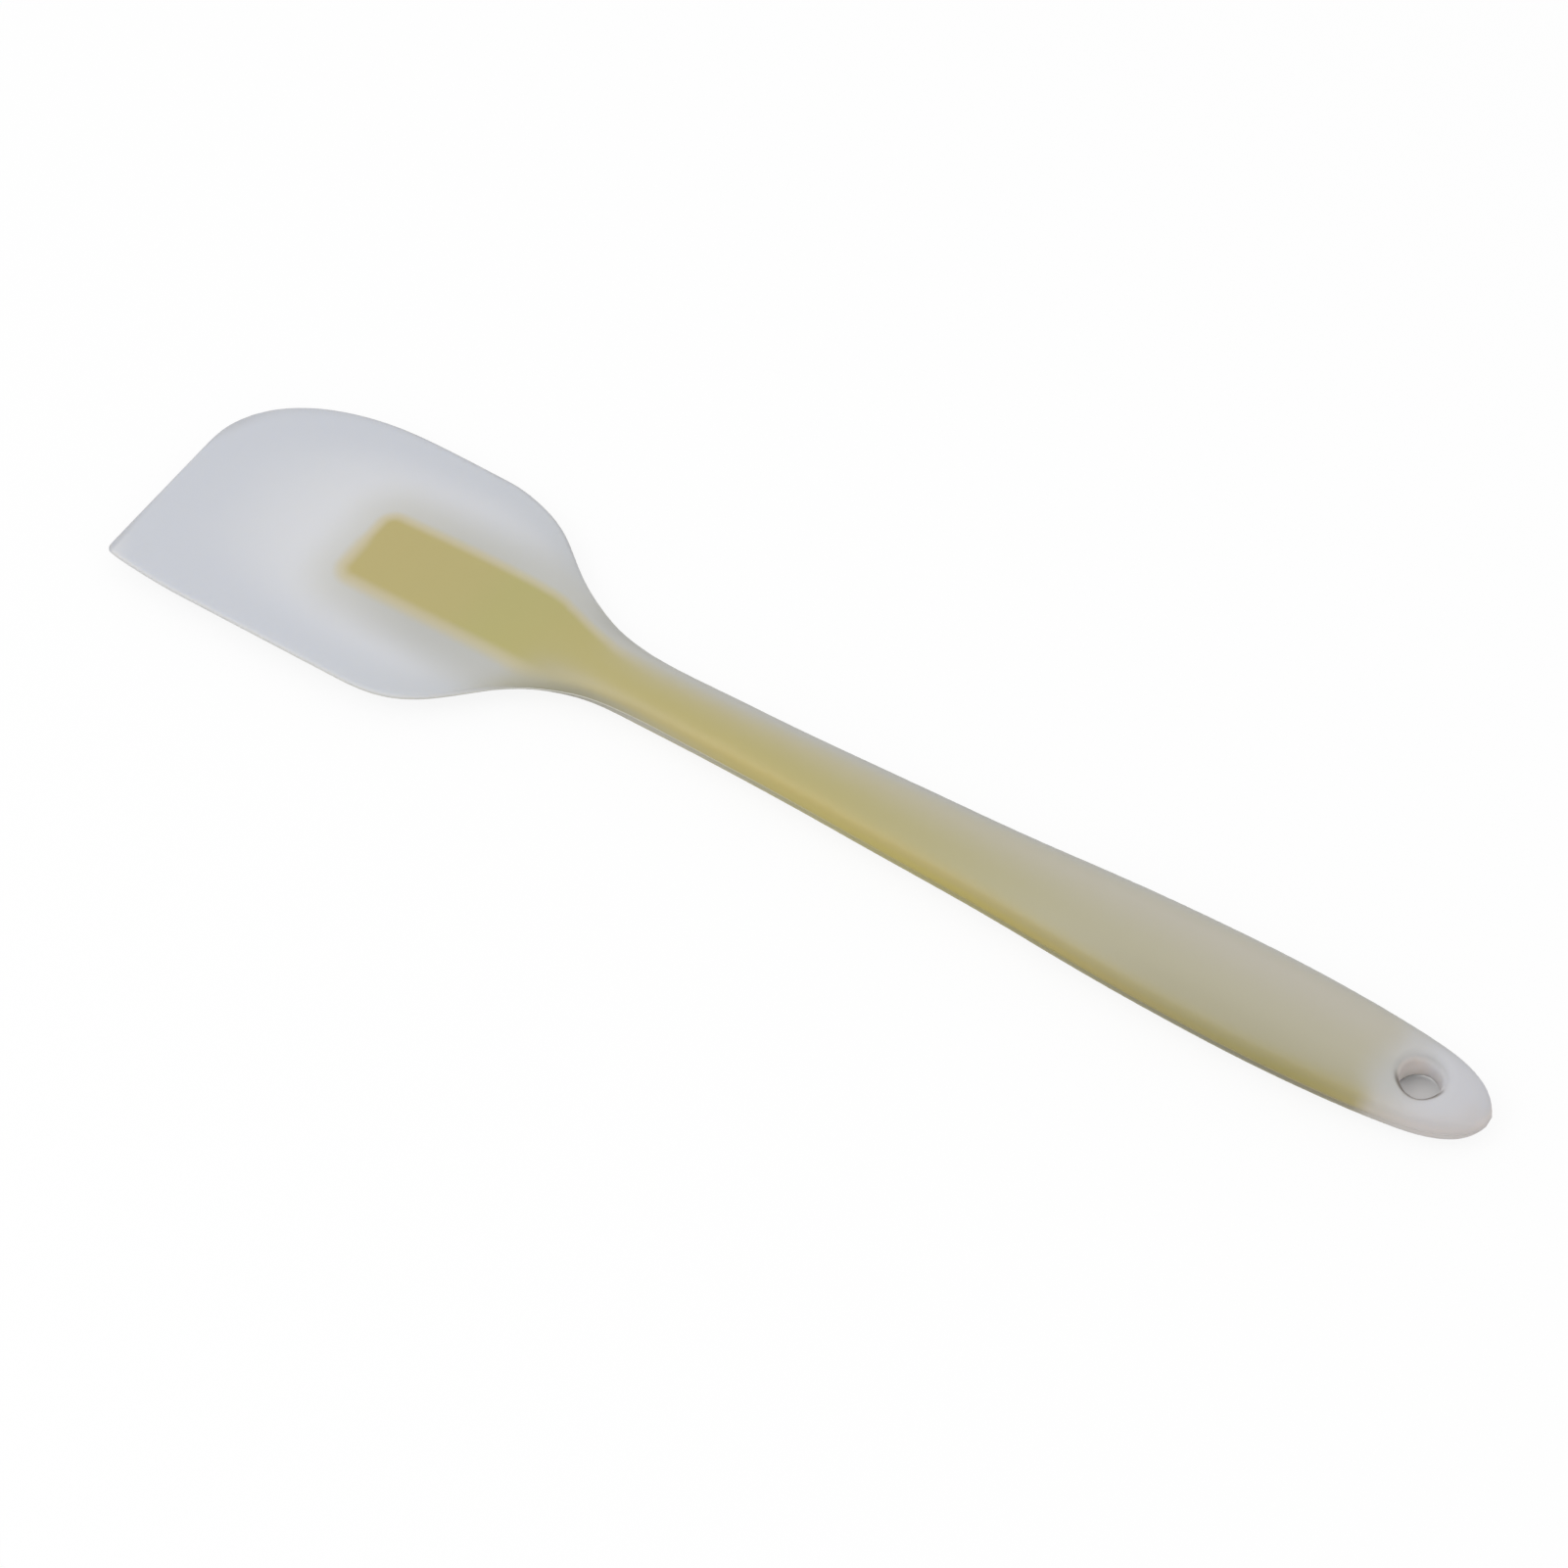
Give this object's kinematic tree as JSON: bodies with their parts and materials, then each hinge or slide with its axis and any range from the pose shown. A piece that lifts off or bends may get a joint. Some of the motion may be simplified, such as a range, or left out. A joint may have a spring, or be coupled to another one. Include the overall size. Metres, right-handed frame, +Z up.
{
  "type": "silicone spatula",
  "caption": "One-piece spatula with a thin, flexible silicone blade, one pointed and one rounded corner, a stiff inner core, and a tapered handle with a hanging hole.",
  "frame": {"origin": "centre of the overall box, on the mould's parting plane at mid-thickness", "axes": "+X from the blade's front edge to the handle's end, +Y from the pointed corner to the rounded corner, +Z up through the flat blade"},
  "size_m": [0.28, 0.057, 0.0096],
  "materials": {
    "silicone": "satin, translucent milky silicone",
    "core_plastic": "matte moulded plastic"
  },
  "bodies": {
    "root": {"silicone_body": "silicone", "stiffening_core": "core_plastic"}
  },
  "joints": []
}
